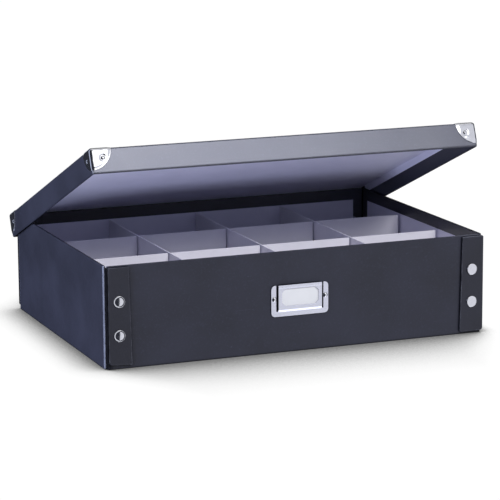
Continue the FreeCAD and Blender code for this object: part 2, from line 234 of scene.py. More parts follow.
# --- helpers: materials ---------------------------------------------------------------------------
class Graph:
    """A material's or world's node tree, with short calls to add and join nodes."""

    def __init__(self, owner):
        owner.use_nodes = True
        self.owner = owner
        self.tree = owner.node_tree
        self.tree.nodes.clear()

    def add(self, kind, inputs=None, **settings):
        """Adds a node. inputs maps a socket's name or number to a value or to another socket."""
        node = self.tree.nodes.new("ShaderNode" + kind)
        for key, value in settings.items():
            setattr(node, key, value)
        for key, value in (inputs or {}).items():
            if isinstance(value, bpy.types.NodeSocket):
                self.tree.links.new(value, node.inputs[key])
            else:
                node.inputs[key].default_value = value
        return node

    def math(self, operation, a, b=0.0):
        return self.add("Math", {0: a, 1: b}, operation=operation).outputs[0]

    def noise(self, where, scale, detail=3.0, roughness=0.5):
        inputs = {"Vector": where, "Scale": scale, "Detail": detail, "Roughness": roughness}
        return self.add("TexNoise", inputs).outputs["Fac"]

    def remap(self, value, low, high, to_low, to_high):
        inputs = {"Value": value, 1: low, 2: high, 3: to_low, 4: to_high}
        return self.add("MapRange", inputs, clamp=True).outputs[0]

    def mix(self, factor, a, b):
        node = self.add("Mix", data_type="RGBA")
        for key, value in ((0, factor), (6, a), (7, b)):
            if isinstance(value, bpy.types.NodeSocket):
                self.tree.links.new(value, node.inputs[key])
            else:
                node.inputs[key].default_value = value
        return node.outputs[2]

    def bump(self, height, strength, distance, normal=None):
        inputs = {"Height": height, "Strength": strength, "Distance": distance}
        if normal is not None:
            inputs["Normal"] = normal
        return self.add("Bump", inputs).outputs[0]

    def edges(self, radius):
        """1 where the surface turns within radius, 0 on flat ground."""
        soft = self.add("Bevel", {"Radius": radius}, samples=4).outputs[0]
        true = self.add("NewGeometry").outputs["Normal"]
        same = self.add("VectorMath", {0: soft, 1: true}, operation="DOT_PRODUCT").outputs["Value"]
        return self.remap(same, 0.995, 0.82, 0.0, 1.0)

    def crevices(self, distance):
        """0 deep in a gap, 1 in the open."""
        found = self.add("AmbientOcclusion", {"Distance": distance}, samples=6).outputs["AO"]
        return self.remap(found, 0.35, 0.85, 0.0, 1.0)

    def surface(self, **inputs):
        names = {key.replace("_", " "): value for key, value in inputs.items()}
        shader = self.add("BsdfPrincipled", names).outputs[0]
        self.add("OutputMaterial", {"Surface": shader})
        return self.owner


def new_graph(name):
    graph = Graph(bpy.data.materials.new(name))
    where = graph.add("TexCoord").outputs["Object"]
    return graph, where


def grey(value, tint=(1.0, 1.0, 1.0)):
    return (value * tint[0], value * tint[1], value * tint[2], 1.0)


BLUE_BLACK = (0.93, 0.98, 1.70)
RUBBED_AND_HIGHLIT_TINT = (0.92, 0.98, 1.25)


def covering_material(name="covering_paper", shine=0.35, wear_and_highlight=0.45, groove_shade=0.0, fold_at=None,
                      crevice=4.0, rubbed_and_highlit_tone=0.14):
    """Black covering paper: satin, finely grained, with faint scuffs and pale edges, partly from rubbing
    and partly a painted highlight.

    The groove shade argument is how much painted shade darkens it in its groove. fold_at is how far out,
    in metres, a wall's end lies; down that rounded end a pale stripe is painted as a highlight, and its
    very tip near black as painted shade. Gaps narrower than crevice millimetres are darkened with painted
    shade.
    The pale edge tone argument is the tone of the edges, pale partly from rubbing and partly as a painted
    highlight.
    """
    graph, where = new_graph(name)
    clouds = graph.noise(where, 18.0, 4.0)
    grain = graph.noise(where, 1500.0, 2.0)
    pores = graph.noise(where, 520.0, 3.0, 0.6)
    rub = graph.noise(where, 95.0, 5.0, 0.7)
    stretched = graph.add("Mapping", {"Vector": where, "Scale": (14.0, 60.0, 420.0)}).outputs[0]
    scuffs = graph.noise(stretched, 1.0, 4.0, 0.65)
    specks = graph.add("TexVoronoi", {"Vector": where, "Scale": 55.0}).outputs["Distance"]
    base = graph.mix(graph.remap(clouds, 0.35, 0.65, 0.0, 1.0),
                     grey(0.0110, BLUE_BLACK), grey(0.0155, BLUE_BLACK))
    base = graph.mix(graph.remap(pores, 0.55, 0.75, 0.0, 0.5), base, grey(0.030, BLUE_BLACK))
    base = graph.mix(graph.remap(scuffs, 0.66, 0.82, 0.0, 0.35), base, grey(0.055, BLUE_BLACK))
    base = graph.mix(graph.remap(specks, 0.024, 0.014, 0.0, 0.5), base, grey(0.14, BLUE_BLACK))
    # Paler edges: partly from rubbing, partly a painted highlight along the rims.
    worn_and_highlit = graph.math("MULTIPLY", graph.edges(1.3 * MM), graph.remap(rub, 0.42, 0.62, 0.15, 1.0))
    base = graph.mix(graph.math("MULTIPLY", worn_and_highlit, wear_and_highlight), base, grey(rubbed_and_highlit_tone, RUBBED_AND_HIGHLIT_TINT))
    if fold_at:
        y = graph.math("ABSOLUTE", graph.add("SeparateXYZ", {0: where}).outputs["Y"])
        # Painted highlight: a pale stripe down the wall's rounded end.
        painted_ridge_highlight = graph.remap(y, fold_at - 2.9 * MM, fold_at - 2.2 * MM, 0.0, 1.0)
        painted_ridge_highlight = graph.math("MULTIPLY", painted_ridge_highlight, graph.remap(rub, 0.35, 0.6, 0.5, 0.9))
        base = graph.mix(painted_ridge_highlight, base, grey(0.13, RUBBED_AND_HIGHLIT_TINT))
        # Painted shade: the very tip of the wall's end, where it turns into the groove, near black.
        turned = graph.remap(y, fold_at - 0.45 * MM, fold_at - 0.1 * MM, 0.0, 0.95)
        base = graph.mix(turned, base, grey(0.002))
    # Painted shade: near black in narrow gaps, and darker still for paper lying in a groove.
    open_air = graph.math("MULTIPLY", graph.crevices(crevice * MM), 1.0 - groove_shade)
    base = graph.mix(open_air, grey(0.002), base)
    # Painted shade in the gloss: less shine in gaps, on faces turned down and on faces turned up.
    up = graph.add("SeparateXYZ", {0: graph.add("NewGeometry").outputs["Normal"]}).outputs["Z"]
    lit = graph.math("MULTIPLY", open_air, graph.remap(up, -0.75, -0.25, 0.1, 1.0))
    lit = graph.math("MULTIPLY", lit, graph.remap(up, 0.5, 0.9, 1.0, 0.45))
    level = graph.math("MULTIPLY", lit, 0.5)
    coat = graph.math("MULTIPLY", lit, shine)
    rough = graph.remap(clouds, 0.3, 0.7, 0.48, 0.56)
    rough = graph.math("ADD", rough, graph.math("MULTIPLY", worn_and_highlit, 0.12))
    normal = graph.bump(graph.noise(where, 9.0, 2.0), 0.35, 1.5 * MM)
    normal = graph.bump(pores, 0.28, 0.12 * MM, normal)
    normal = graph.bump(grain, 0.12, 0.05 * MM, normal)
    return graph.surface(Base_Color=base, Roughness=rough, IOR=1.45, Normal=normal,
                         Specular_IOR_Level=level, Coat_Weight=coat, Coat_Roughness=0.28,
                         Coat_Normal=normal)


def white_paper_material(name, tone, tint, gloss, fibre):
    """White paper or board: matte, with a faint mottle and fibre relief."""
    graph, where = new_graph(name)
    mottle = graph.noise(where, 40.0, 5.0, 0.6)
    fibres = graph.noise(where, 900.0, 3.0, 0.7)
    base = graph.mix(graph.remap(mottle, 0.35, 0.65, 0.0, 1.0),
                     grey(tone * 0.96, tint), grey(tone, tint))
    base = graph.mix(graph.remap(fibres, 0.6, 0.8, 0.0, 0.25), base, grey(tone * 0.85, tint))
    normal = graph.bump(fibres, fibre, 0.08 * MM)
    rough = graph.remap(mottle, 0.3, 0.7, gloss - 0.05, gloss + 0.05)
    return graph.surface(Base_Color=base, Roughness=rough, IOR=1.4, Normal=normal)


def polished_metal_material():
    """Polished nickel: bright, with fine marks of use in its gloss."""
    graph, where = new_graph("polished_nickel")
    smear = graph.noise(where, 160.0, 4.0, 0.6)
    fine = graph.noise(where, 1400.0, 2.0)
    base = graph.mix(smear, grey(0.80, (0.99, 0.99, 1.02)), grey(0.90, (1.0, 1.0, 1.01)))
    rough = graph.remap(smear, 0.3, 0.75, 0.07, 0.16)
    normal = graph.bump(fine, 0.05, 0.02 * MM)
    return graph.surface(Base_Color=base, Metallic=1.0, Roughness=rough, Normal=normal)


def satin_metal_material():
    """Satin nickel of the label holder, brushed along its length."""
    graph, where = new_graph("satin_nickel")
    stretched = graph.add("Mapping", {"Vector": where, "Scale": (30.0, 2400.0, 2400.0)}).outputs[0]
    brushing = graph.noise(stretched, 1.0, 2.0, 0.6)
    smear = graph.noise(where, 120.0, 3.0)
    base = graph.mix(smear, grey(0.84, (0.98, 0.99, 1.08)), grey(0.92, (0.99, 0.99, 1.06)))
    rough = graph.remap(brushing, 0.3, 0.7, 0.17, 0.27)
    normal = graph.bump(brushing, 0.08, 0.03 * MM)
    return graph.surface(Base_Color=base, Metallic=1.0, Roughness=rough, Normal=normal)


COVERING = covering_material()
# Flaps: strongly pale edges, partly from rubbing and partly a painted highlight, and little painted shade
# in gaps.
FLAP_PAPER = covering_material("flap_paper", wear_and_highlight=0.9, crevice=1.0, rubbed_and_highlit_tone=0.3)
# Crease covers, darkened with painted shade in their groove.
CREASED = covering_material("creased_paper", shine=0.0, groove_shade=0.3)
GROOVED = covering_material("grooved_paper", shine=0.0, groove_shade=0.45)
# The left wall, with a painted highlight down its rounded ends.
FOLDED = covering_material("folded_paper", fold_at=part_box("left_wall")[1].y)
LINING = white_paper_material("lining_paper", 0.78, (0.97, 0.95, 1.12), 0.72, 0.10)
DIVIDER = white_paper_material("divider_board", 0.80, (0.99, 0.97, 1.05), 0.62, 0.08)
CARD = white_paper_material("label_card_paper", 0.78, (0.98, 0.99, 1.03), 0.60, 0.05)
NICKEL = polished_metal_material()
SATIN = satin_metal_material()


# --- CAD nodes that stay: only their materials are set ----------------------------------------------
def node_material(node):
    if "lining" in node:
        return LINING
    if "divider" in node:
        return DIVIDER
    if "snap" in node or "rivets" in node or "metal" in node:
        return NICKEL
    return {"label_holder": SATIN, "label_card": CARD}.get(node, COVERING)


for node_name, node_object in frame["nodes"].items():
    node_object.data.materials.clear()
    node_object.data.materials.append(node_material(node_name))


# --- side walls, flaps and the covering across their creases ----------------------------------------
def side_wall(side):
    """A side wall whose outer ends are fully rounded."""
    node = "left_wall" if side < 0 else "right_wall"
    low, high = box_mm(node)
    corners = [(low.x, low.y), (high.x, low.y), (high.x, high.y), (low.x, high.y)]
    radii = [WALL_END_R, WALL_SEAM_R, WALL_SEAM_R, WALL_END_R]
    if side > 0:
        radii = [WALL_SEAM_R, WALL_END_R, WALL_END_R, WALL_SEAM_R]
    profile = rim_profile(high.z - low.z, WALL_RIM_R)
    bm = bmesh.new()
    slab(bm, corners, radii, profile, lambda u, v, w: Vector((u, v, low.z + w)))
    piece = add_piece(node + "_board", bm, FOLDED if side < 0 else COVERING)
    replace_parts(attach(piece, "base"), node)


def flap_edge_at_top(node, side, top):
    """Where the flap's slanting free edge ends at its top, in millimetres."""
    near_top = [v.co.x / MM for v in frame["nodes"][node].data.vertices if v.co.z / MM > top - 1.5]
    return max(near_top) if side < 0 else min(near_top)


def is_loose(side, end):
    """Whether a corner's crease is the slack one, which shows as a dark groove."""
    return (side, end) == (-1, -1)


def corner_flap(side, end, body):
    """A flap: full round hinge end, soft corners, slanting free edge."""
    node = f"{'front' if end < 0 else 'rear'}_{'left' if side < 0 else 'right'}_flap"
    low, high = box_mm(node)
    hinge, free = (low.x, high.x) if side < 0 else (high.x, low.x)
    loose = is_loose(side, end)
    hinge += LOOSE_HINGE * loose
    foot = low.z + FLAP_FOOT_RISE[loose]
    free_top = flap_edge_at_top(node, side, high.z)
    corners = [(hinge, foot + FLAP_FOOT_SLANT * loose), (free, foot), (free_top, high.z), (hinge, high.z)]
    radii = list(FLAP_CORNER_R)
    if side > 0:
        corners.reverse()
        radii.reverse()
    bm = bmesh.new()
    profile = rim_profile(high.y - low.y, FLAP_EDGE_R)
    slab(bm, corners, radii, profile, lambda u, v, w: Vector((u, low.y + w, v)))
    piece = add_piece(node + "_board", bm, FLAP_PAPER)
    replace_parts(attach(piece, body), node)


def crease_cover(side, end, body):
    """The covering that dips into the groove between a side wall and its flap."""
    corner = f"{'front' if end < 0 else 'rear'}_{'left' if side < 0 else 'right'}"
    wall_low, wall_high = box_mm("left_wall" if side < 0 else "right_wall")
    flap_low, flap_high = box_mm(corner + "_flap")
    _, top = box_mm(corner + "_crease")
    wall_face = wall_low.x if side < 0 else wall_high.x
    wall_end = wall_low.y if end < 0 else wall_high.y
    flap_back = flap_high.y if end < 0 else flap_low.y
    gap = abs(flap_back - wall_end)
    # The path is (depth behind the wall's face, distance out from the wall's end).
    if is_loose(side, end):
        path = [(1.7, -1.0), (1.9, 0.4), (2.0, 1.5), (2.0, gap - 1.2), (2.3, gap - 0.6),
                (3.2, gap - 0.45), (4.2, gap - 0.25), (4.9, gap + 0.3), (5.2, gap + 0.9)]
    else:
        path = [(0.45 + 0.5 * t + 0.3 * math.sin(math.pi * t), -1.0 + (gap + 1.6) * t)
                for t in linspace(0.0, 1.0, 12)]
    path = [(depth, wall_end + end * out) for depth, out in path]
    outline = [(wall_face - side * d, y) for d, y in path]
    outline += [(wall_face - side * (d + CREASE_T), y) for d, y in reversed(path)]
    bm = bmesh.new()
    foot = flap_low.z + CREASE_FOOT[is_loose(side, end)]
    heights = linspace(foot, top.z - 0.2, 6)
    loft(bm, [[Vector((x, y, z)) for x, y in outline] for z in heights])
    piece = add_piece(corner + "_crease_cover", bm, GROOVED if is_loose(side, end) else CREASED)
    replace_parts(piece, corner + "_crease")
    if body == "base":
        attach(piece, "base")
        return
    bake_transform(piece)


for side in (-1, 1):
    side_wall(side)
    for end in (-1, 1):
        side_word = "left" if side < 0 else "right"
        flap_body = f"front_{side_word}_flap" if end < 0 else "base"
        corner_flap(side, end, flap_body)
        crease_cover(side, end, flap_body)


def snap_caps(corner, flap, body, lean):
    """A flap's press-stud caps: rolled rims and shallow domes, which lean sideways with the flap."""
    low, high = box_mm(corner + "_snap_caps")
    left_low, left_high = box_mm("front_left_snap_caps")
    radius = (left_high.x - left_low.x) / 2
    flap_low, flap_high = box_mm(flap)
    end = 1 if corner == "rear" else -1
    face = flap_high.y if end > 0 else flap_low.y
    profile = [(radius, 0.0), (radius, 0.7), (radius - 0.1, 1.0), (radius - 0.3, 1.22),
               (radius - 0.55, 1.3), (radius - 0.7, 1.29)]
    for t in linspace(0.0, 0.97, 10):
        profile.append(((radius - CAP_RIM) * (1 - t), 1.1 + CAP_DOME * (1 - (1 - t) ** 2)))
    out = Vector((math.sin(lean), end * math.cos(lean), 0.0))
    bm = bmesh.new()
    for x in {round(low.x + radius, 2), round(high.x - radius, 2)}:
        for z in (low.z + radius, high.z - radius):
            round_head(bm, profile, Vector((x, face - end * CAP_SUNK, z)), out)
    piece = add_piece(corner + "_turned_caps", bm, NICKEL)
    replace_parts(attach(piece, body), corner + "_snap_caps")


snap_caps("front_left", "front_left_flap", "front_left_flap", CAP_LEAN[0])
snap_caps("front_right", "front_right_flap", "front_right_flap", CAP_LEAN[1])
snap_caps("rear", "rear_left_flap", "base", 0.0)


# --- dividers -------------------------------------------------------------------------------------
def slotted_strip(node, along, slots, slots_open_up, offset):
    """A slotted strip of board. along is 0 for X or 1 for Y; offset bends it sideways."""
    low, high = box_mm(node)
    thickness = high[1 - along] - low[1 - along]
    middle = (low[1 - along] + high[1 - along]) / 2
    mid_z = (low.z + high.z) / 2
    cuts = sorted({c for slot in slots for c in slot})
    stops = [low[along]] + cuts + [high[along]]
    us = [low[along]]
    for a, b in zip(stops, stops[1:]):
        us += linspace(a, b, max(1, round((b - a) / 5.0)))[1:]
    split = mid_z - SLOT_SPARE if slots_open_up else mid_z + SLOT_SPARE
    vs = [low.z, split, high.z]
    open_row = 1 if slots_open_up else 0
    bm = bmesh.new()

    def vertex(u, v):
        across = middle + offset(u, v)
        return bm.verts.new((u, across, v) if along == 0 else (across, u, v))

    grid = [[vertex(u, v) for v in vs] for u in us]
    for i in range(len(us) - 1):
        centre = (us[i] + us[i + 1]) / 2
        for row in (0, 1):
            if row == open_row and any(a < centre < b for a, b in slots):
                continue
            bm.faces.new((grid[i][row], grid[i + 1][row], grid[i + 1][row + 1], grid[i][row + 1]))
    modifiers = [
        ("SOLIDIFY", {"thickness": thickness * MM, "offset": 0.0}),
        ("BEVEL", {"width": 0.3 * MM, "segments": 2, "limit_method": "ANGLE",
                   "angle_limit": math.radians(50)}),
    ]
    piece = add_piece(node + "_strip", bm, DIVIDER, modifiers)
    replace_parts(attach(piece, "divider_grid"), node)


def build_dividers():
    long_nodes = ("left_long_divider", "middle_long_divider", "right_long_divider")
    cross_nodes = ("front_cross_divider", "rear_cross_divider")
    up_slots = []
    for node in long_nodes:
        right = box_mm(node)[1].x + SLOT_SPARE / 2
        up_slots.append((right - CROSS_SLOT_W, right))
    down_slots = []
    for node in cross_nodes:
        low, high = box_mm(node)
        middle = (low.y + high.y) / 2
        down_slots.append((middle - LONG_SLOT_W / 2, middle + LONG_SLOT_W / 2))
    strip_end = box_mm("rear_cross_divider")[1].x

    def curl(u, v):
        reach = max(0.0, (u - strip_end + CURL_REACH) / CURL_REACH)
        return -CURL_OUT * reach ** 2.2

    slotted_strip("front_cross_divider", 0, up_slots, True, lambda u, v: 0.0)
    slotted_strip("rear_cross_divider", 0, up_slots, True, curl)
    for node in long_nodes:
        slotted_strip(node, 1, down_slots, False, lambda u, v: 0.0)


build_dividers()


# --- label holder ---------------------------------------------------------------------------------
def build_label_holder():
    """A stamped plate: a flange with soft corners and a raised, windowed tongue."""
    low, high = box_mm("label_holder")
    wall, foot, half, height = high.y, low.z, high.x, high.z - low.z
    bm = bmesh.new()
    inner = TONGUE_HALF_W + TONGUE_GAP
    corners = [(-half, 0.0), (half, 0.0), (half, height), (-half, height)]
    outer = rounded_outline(corners, [HOLDER_CORNER_R] * 4)
    right = [p for p in outer if p.x > inner and p.y > height / 2]
    left = [p for p in outer if p.x < -inner and p.y > height / 2]
    bottom = [p for p in outer if p.y < height / 2]
    bottom_left = [p for p in bottom if p.x < 0]
    bottom_right = [p for p in bottom if p.x > 0]
    flange = bottom_left + bottom_right + right
    flange += [Vector((inner, height)), Vector((inner, FLANGE_FOOT))]
    flange += [Vector((-inner, FLANGE_FOOT)), Vector((-inner, height))] + left
    face_y = wall - HOLDER_T
    bm.faces.new([bm.verts.new((p.x, face_y, foot + p.y)) for p in flange])

    xs = [-TONGUE_HALF_W, -WINDOW_HALF_W, -WINDOW_HALF_W + WINDOW_CHAMFER,
          WINDOW_HALF_W - WINDOW_CHAMFER, WINDOW_HALF_W, TONGUE_HALF_W]
    rows = []
    for t in linspace(0.0, 1.0, 8):
        eased = 0.8 * t + 0.2 * smoothstep(0.0, 1.0, t)
        out = HOLDER_T + (TONGUE_OUT - HOLDER_T) * eased
        rows.append((FLANGE_FOOT - 0.4 + (STEP_RISE + 0.4) * t, out))
    rows.append((WINDOW_FOOT, TONGUE_OUT))
    grid = [[bm.verts.new((x, wall - out, foot + z)) for x in xs] for z, out in rows]
    for a, b in zip(grid, grid[1:]):
        for i in range(5):
            bm.faces.new((a[i], a[i + 1], b[i + 1], b[i]))

    z_low, z_high = WINDOW_FOOT + WINDOW_CHAMFER, WINDOW_TOP - WINDOW_CHAMFER
    base_row = grid[-1]

    def row(z, columns, out=TONGUE_OUT):
        return [bm.verts.new((xs[c], wall - out, foot + z)) for c in columns]

    low_row, high_row = row(z_low, (0, 1, 4, 5)), row(z_high, (0, 1, 4, 5))
    top_row = row(WINDOW_TOP, range(6))
    bm.faces.new((base_row[0], base_row[1], low_row[1], low_row[0]))
    bm.faces.new((base_row[1], base_row[2], low_row[1]))
    bm.faces.new((base_row[3], base_row[4], low_row[2]))
    bm.faces.new((base_row[4], base_row[5], low_row[3], low_row[2]))
    for a, b in ((0, 1), (2, 3)):
        bm.faces.new((low_row[a], low_row[b], high_row[b], high_row[a]))
    bm.faces.new((high_row[0], high_row[1], top_row[1], top_row[0]))
    bm.faces.new((high_row[1], top_row[2], top_row[1]))
    bm.faces.new((high_row[2], top_row[4], top_row[3]))
    bm.faces.new((high_row[2], high_row[3], top_row[5], top_row[4]))
    last = top_row
    for z, bead in TONGUE_BEAD:
        new = row(WINDOW_TOP + z, range(6), TONGUE_OUT + bead)
        for i in range(5):
            bm.faces.new((last[i], last[i + 1], new[i + 1], new[i]))
        last = new
    bmesh.ops.recalc_face_normals(bm, faces=bm.faces)
    bmesh.ops.triangulate(bm, faces=[f for f in bm.faces if len(f.verts) > 8])
    modifiers = [
        ("SOLIDIFY", {"thickness": HOLDER_T * 0.95 * MM, "offset": 0.0}),
        ("BEVEL", {"width": 0.22 * MM, "segments": 3, "limit_method": "ANGLE",
                   "angle_limit": math.radians(60)}),
    ]
    piece = add_piece("label_holder_plate", bm, SATIN, modifiers)
    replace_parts(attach(piece, "base"), "label_holder")


build_label_holder()


# --- lid ------------------------------------------------------------------------------------------
LID_JOINT = next(j for j in frame["joints"] if j["name"] == "lid_tilt")
LID_PIVOT = Vector(LID_JOINT["pos_m"]) / MM
LID_OPEN = math.radians(-LID_JOINT["range_deg"][0])
LID_TURN = (Matrix.Translation(LID_PIVOT) @ Matrix.Rotation(LID_OPEN, 4, Vector(LID_JOINT["axis"]))
            @ Matrix.Translation(-LID_PIVOT))


def shut_box(node):
    """A lid node's lowest and highest corner with the lid shut, in millimetres."""
    back = LID_TURN.inverted()
    points = [back @ (v.co / MM) for v in frame["nodes"][node].data.vertices]
    return (Vector([min(p[i] for p in points) for i in range(3)]),
            Vector([max(p[i] for p in points) for i in range(3)]))


PANEL_LOW, PANEL_HIGH = shut_box("lid_panel")
SKIRT_LOW, _ = shut_box("lid_front_skirt")
LID_T = PANEL_HIGH.z - PANEL_LOW.z


def on_lid(x, y, z):
    """A point of the shut lid, moved to the lid's rest pose."""
    return LID_TURN @ Vector((x, y, z))


def lid_shell():
    """Panel and skirts under one covering: soft rims, and a full round foot turned in."""
    low, high = PANEL_LOW, PANEL_HIGH
    corners = [(low.x, low.y), (high.x, low.y), (high.x, high.y), (low.x, high.y)]
    profile = []
    for a in linspace(math.pi / 2, 0.0, ARC_STEPS):
        rim = LID_RIM_R
        profile.append((rim * (1 - math.cos(a)), high.z - rim * (1 - math.sin(a))))
    half = LID_T / 2
    for a in linspace(0.0, math.pi, 2 * ARC_STEPS):
        profile.append((half * (1 - math.cos(a)), SKIRT_LOW.z + LID_FOOT_H * (1 - math.sin(a))))
    profile.append((LID_T, low.z - 0.3))
    profile.append((LID_T + 0.3, low.z))
    bm = bmesh.new()
    slab(bm, corners, [LID_CORNER_R] * 4, profile, on_lid)
    piece = add_piece("lid_shell", bm, COVERING)
    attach(piece, "lid")
    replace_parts(piece, "lid_panel", *[f"lid_{s}_skirt" for s in ("front", "rear", "left", "right")])


def metal_corner(side, end):
    """A pressed corner: three quarter-round cheeks, folded round the lid's edges, with dimples."""
    name = f"lid_{'front' if end < 0 else 'rear'}_{'left' if side < 0 else 'right'}_metal_corner"
    node_low, _ = shut_box(name)
    reach = PANEL_HIGH.z - node_low.z
    corner = Vector((side * PANEL_HIGH.x, end * PANEL_HIGH.y, PANEL_HIGH.z))
    inward = (Vector((-side, 0, 0)), Vector((0, -end, 0)), Vector((0, 0, -1)))
    rings = linspace(0.0, 2.4, 6) + linspace(3.2, reach - METAL_RIM_R, 22)
    rings += [reach - METAL_RIM_R * (1 - math.sin(a)) for a in linspace(0.0, math.pi / 2, 5)[1:]]
    fold = 1.3 * METAL_FOLD_R / reach
    spokes = linspace(0.0, fold, 7) + linspace(fold, math.pi / 2 - fold, 20)[1:]
    spokes += linspace(math.pi / 2 - fold, math.pi / 2, 7)[1:]

    def height(q, radius, flat_axis):
        edge = reach - radius
        level = METAL_RIM_R
        if edge < METAL_RIM_R:
            level = math.sqrt(max(0.0, METAL_RIM_R ** 2 - (METAL_RIM_R - edge) ** 2))
        level += METAL_CROWN * smoothstep(METAL_RIM_R, 4.5, edge)
        if flat_axis != 2:
            away = math.hypot(q[1 - flat_axis] - RIVET_ALONG, q[2] - RIVET_DOWN)
            level -= DIMPLE_DEPTH * (1 - smoothstep(*DIMPLE_R, away))
        return level

    def point(q, above):
        core = [max(c, METAL_FOLD_R) for c in q]
        out = Vector([c - k for c, k in zip(q, core)]).normalized()
        p = [k + (METAL_FOLD_R + above) * o for k, o in zip(core, out)]
        x, y, z = corner + sum((inward[i] * p[i] for i in range(3)), Vector())
        return on_lid(x, y, z)

    bm = bmesh.new()
    for a, b, flat_axis in ((0, 1, 2), (0, 2, 1), (1, 2, 0)):
        layers = []
        for outer in (True, False):
            grid = []
            for radius in rings:
                line = []
                for angle in spokes:
                    q = [0.0, 0.0, 0.0]
                    q[a], q[b] = radius * math.cos(angle), radius * math.sin(angle)
                    above = height(q, radius, flat_axis) if outer else -0.1
                    line.append(bm.verts.new(point(q, above)))
                grid.append(line)
            layers.append(grid)
            for r in range(len(rings) - 1):
                for s in range(len(spokes) - 1):
                    quad = (grid[r][s], grid[r][s + 1], grid[r + 1][s + 1], grid[r + 1][s])
                    bm.faces.new(quad)
        top, under = layers[0][-1], layers[1][-1]
        for s in range(len(spokes) - 1):
            bm.faces.new((top[s], top[s + 1], under[s + 1], under[s]))
    piece = add_piece(name.replace("metal_corner", "corner_cap"), bm, NICKEL, merge=0.001)
    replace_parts(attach(piece, "lid"), name)


def dome_profile(radius, base, height):
    """A round head's (radius, height) pairs: base is the straight part under it."""
    angles = linspace(0.0, math.pi / 2, 6)
    dome = [(radius * math.cos(a) + 0.02, base + height * math.sin(a)) for a in angles]
    return [(radius, 0.0)] + dome


def rivet_domes():
    """Round heads on the rivets of the metal corners and of the label holder."""
    low, high = PANEL_LOW, PANEL_HIGH
    down = high.z - RIVET_DOWN
    bm = bmesh.new()
    for side in (-1, 1):
        for end in (-1, 1):
            x, y = (high.x if side > 0 else low.x), (high.y if end > 0 else low.y)
            spots = ((Vector((x - side * RIVET_ALONG, y, down)), Vector((0, end, 0))),
                     (Vector((x, y - end * RIVET_ALONG, down)), Vector((side, 0, 0))))
            for at, out in spots:
                round_head(bm, dome_profile(*RIVET_DOME), at, out, on_lid)
    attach(add_piece("lid_rivet_domes", bm, NICKEL), "lid")

    low, high = box_mm("label_holder_rivets")
    middle_z, reach = (low.z + high.z) / 2, (high.z - low.z) / 2
    bm = bmesh.new()
    for x in (low.x + reach, high.x - reach):
        at = Vector((x, box_mm("label_holder")[1].y - HOLDER_T, middle_z))
        round_head(bm, dome_profile(*HOLDER_DOME), at, Vector((0, -1, 0)))
    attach(add_piece("holder_rivet_domes", bm, NICKEL), "base")


lid_shell()
for side in (-1, 1):
    for end in (-1, 1):
        metal_corner(side, end)
rivet_domes()


# --- floor, light and camera ------------------------------------------------------------------------
LOOK_AT = Vector((6.3, 0.0, 77.5)) * MM
COOL = (0.80, 0.88, 1.18)
PALE = (0.97, 0.99, 1.09)
RIGHT_ZONE = (14.0, 66.0, 1.0)  # azimuths from, to, and half the soft edge
LEFT_ZONE = (-122.0, -94.0, 4.0)
REAR_ZONE = (84.0, 190.0, 5.0)
RIGHT_ROOM, LEFT_ROOM, REAR_FLOOR, DARK_ROOM = 0.74, 0.75, 0.35, 0.035
FILL_LOW, FILL_HIGH = 0.28, 0.15  # soft light near the horizon and overhead
CONTACT_REACH = (0.155, 0.050, 0.022)  # metres that the contact shadow reaches: front, left, right
CONTACT_TONE = 0.18  # its tone at the foot


def direction(azimuth, elevation):
    """Unit vector towards an azimuth, 0 in front and positive to the right, and an elevation."""
    a, e = math.radians(azimuth), math.radians(elevation)
    return Vector((math.sin(a) * math.cos(e), -math.cos(a) * math.cos(e), math.sin(e)))


def ray_switch(graph, for_camera, for_gloss, for_rest):
    """A colour that differs between what the camera, reflections and soft light see."""
    rays = graph.add("LightPath")
    seen = graph.mix(rays.outputs["Is Glossy Ray"], for_rest, for_gloss)
    return graph.mix(rays.outputs["Is Camera Ray"], seen, for_camera)


def reflected_room(graph, towards, behind=DARK_ROOM):
    """What reflections see by azimuth: a white right, a bluish left, and dark ground between."""
    parts = graph.add("SeparateXYZ", {0: towards}).outputs
    azimuth = graph.math("ARCTAN2", parts["X"], graph.math("MULTIPLY", parts["Y"], -1.0))
    azimuth = graph.math("DEGREES", azimuth)

    def zone(low, high, soft):
        rise = graph.remap(azimuth, low - soft, low + soft, 0.0, 1.0)
        fall = graph.remap(azimuth, high - soft, high + soft, 1.0, 0.0)
        return graph.math("MULTIPLY", rise, fall)

    colour = graph.mix(zone(*REAR_ZONE), grey(DARK_ROOM, COOL), grey(behind, COOL))
    colour = graph.mix(zone(*RIGHT_ZONE), colour, grey(RIGHT_ROOM, PALE))
    return graph.mix(zone(*LEFT_ZONE), colour, grey(LEFT_ROOM, COOL))


